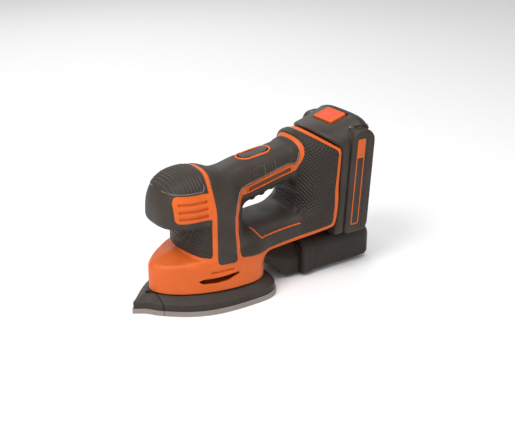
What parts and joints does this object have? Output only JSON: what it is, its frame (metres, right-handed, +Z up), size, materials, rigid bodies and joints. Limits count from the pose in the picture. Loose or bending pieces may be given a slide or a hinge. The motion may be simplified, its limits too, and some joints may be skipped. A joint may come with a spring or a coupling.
{
  "type": "cordless detail sander",
  "caption": "Cordless detail sander with a pointed pad, palm grip over a motor column, open handle, rear battery and dust canister.",
  "frame": {"origin": "on the sanding face, in the middle plane, half way along the pad", "axes": "+X towards the battery, along the tool; +Y to the tool's right; +Z up from the sanding face"},
  "size_m": [0.2469, 0.094, 0.1486],
  "materials": {
    "orange_shell": "satin textured orange shell",
    "dark_grip": "warm charcoal soft-touch overmould",
    "dark_shell": "warm charcoal moulded plastic, fine texture",
    "button": "red-orange satin",
    "switch_dark": "soft dark boot",
    "platen_dark": "glass-filled nylon",
    "hook_grey": "light warm grey hook layer on foam",
    "abrasive": "coated abrasive sheet",
    "steel": "brushed",
    "zinc_steel": "zinc plated",
    "brass": "brass",
    "copper": "copper segments",
    "aluminium": "die cast",
    "magnet": "sintered ferrite",
    "carbon": "pressed carbon",
    "nylon": "natural nylon",
    "board": "solder-masked laminate",
    "wire": "insulated wire",
    "cell": "sleeved cell",
    "filter_paper": "pleated paper"
  },
  "bodies": {
    "housing": {"bearing_plate": "aluminium", "control_board": "board", "dust_duct": "dark_shell", "housing_screws": "zinc_steel", "isolator_posts": "switch_dark", "left_frame_skin": "dark_shell", "left_grip": "dark_grip", "left_housing": "orange_shell", "lower_bearing": "steel", "motor_brushes": "carbon", "motor_can": "zinc_steel", "motor_end_cap": "carbon", "motor_magnets": "magnet", "neck_skin": "dark_grip", "palm_cap": "dark_grip", "palm_pad": "dark_grip", "power_leads": "wire", "right_frame_skin": "dark_shell", "right_grip": "dark_grip", "right_housing": "orange_shell", "switch_bezel": "orange_shell", "switch_body": "carbon", "terminal_blades": "copper", "terminal_block": "dark_shell", "upper_bearing": "steel"},
    "rotor": {"motor_shaft": "steel", "armature": "copper", "commutator": "copper", "cooling_fan": "nylon", "eccentric_weight": "brass"},
    "sanding_pad": {"platen": "platen_dark", "platen_tip": "platen_dark", "tip_screw": "zinc_steel", "platen_bearing": "steel", "hook_pad": "hook_grey", "hook_pad_tip": "hook_grey", "sanding_sheet": "abrasive", "sanding_sheet_tip": "abrasive"},
    "power_switch": {"switch_rocker": "switch_dark"},
    "battery": {"battery_front_shell": "dark_shell", "battery_rear_shell": "dark_shell", "cell_holder": "carbon", "battery_cells": "cell", "battery_board": "board", "battery_contacts": "copper", "battery_screws": "zinc_steel", "spring_shelf": "carbon", "latch_spring": "steel"},
    "battery_button": {"release_button": "button"},
    "canister": {"dust_canister": "dark_shell", "canister_rim": "dark_shell", "filter_frame": "carbon", "filter_element": "filter_paper"}
  },
  "joints": [
    {"name": "spindle_spin", "type": "hinge", "parent": "housing", "child": "rotor", "pos_m": [0.006, 0, 0.03], "axis": [0, 0, 1], "continuous": true},
    {"name": "pad_orbit", "type": "hinge", "parent": "rotor", "child": "sanding_pad", "pos_m": [0.0068, 0, 0.012], "axis": [0, 0, 1], "continuous": true},
    {"name": "switch_rock", "type": "hinge", "parent": "housing", "child": "power_switch", "pos_m": [0.05931, 0, 0.11782], "axis": [0, 1, 0], "range_deg": [0, 6]},
    {"name": "battery_slide", "type": "slide", "parent": "housing", "child": "battery", "axis": [0.0698, 0, 0.9976], "range_m": [0, 0.095]},
    {"name": "button_press", "type": "slide", "parent": "battery", "child": "battery_button", "axis": [0.2756, 0, -0.9613], "range_m": [0, 0.003], "stiffness_N_per_m": 900, "springref_m": -0.002, "deforming": ["latch_spring"]},
    {"name": "canister_slide", "type": "slide", "parent": "housing", "child": "canister", "axis": [1, 0, 0], "range_m": [0, 0.06]}
  ],
  "couplings": [
    {"joint": "pad_orbit", "follows": "spindle_spin", "ratio": -1}
  ]
}
